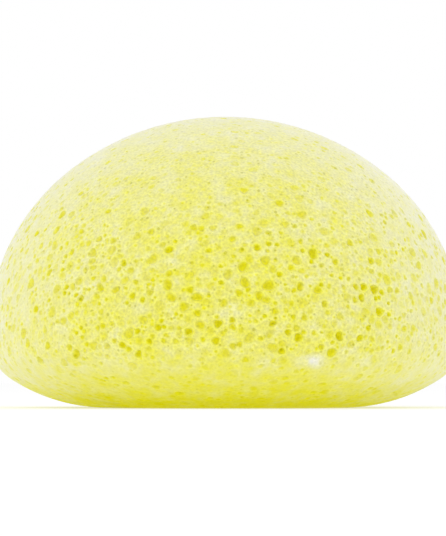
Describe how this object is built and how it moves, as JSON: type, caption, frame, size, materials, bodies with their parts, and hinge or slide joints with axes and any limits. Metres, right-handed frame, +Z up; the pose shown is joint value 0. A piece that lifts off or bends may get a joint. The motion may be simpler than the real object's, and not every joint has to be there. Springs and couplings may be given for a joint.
{
  "type": "konjac sponge",
  "caption": "Half-round konjac face sponge with a porous pale yellow dome, a rolled rim and a flat back; its crown presses down into soft foam and springs back.",
  "frame": {"origin": "middle of the flat back, on the surface that the sponge stands on", "axes": "+Z up through the crown, along the axis of the half-round; -Y faces the picture's camera"},
  "size_m": [0.08, 0.08, 0.049],
  "materials": {
    "konjac_skin": "matte",
    "konjac_core": "matte"
  },
  "bodies": {
    "base": {"base_skin": "konjac_skin", "flank_skin": "konjac_skin", "foam_core": "konjac_core"},
    "crown": {"crown_skin": "konjac_skin"}
  },
  "joints": [
    {"name": "squeeze", "type": "slide", "parent": "base", "child": "crown", "axis": [0, 0, -1], "range_m": [0, 0.015], "stiffness_N_per_m": 400, "deforming": ["flank_skin", "foam_core"]}
  ]
}
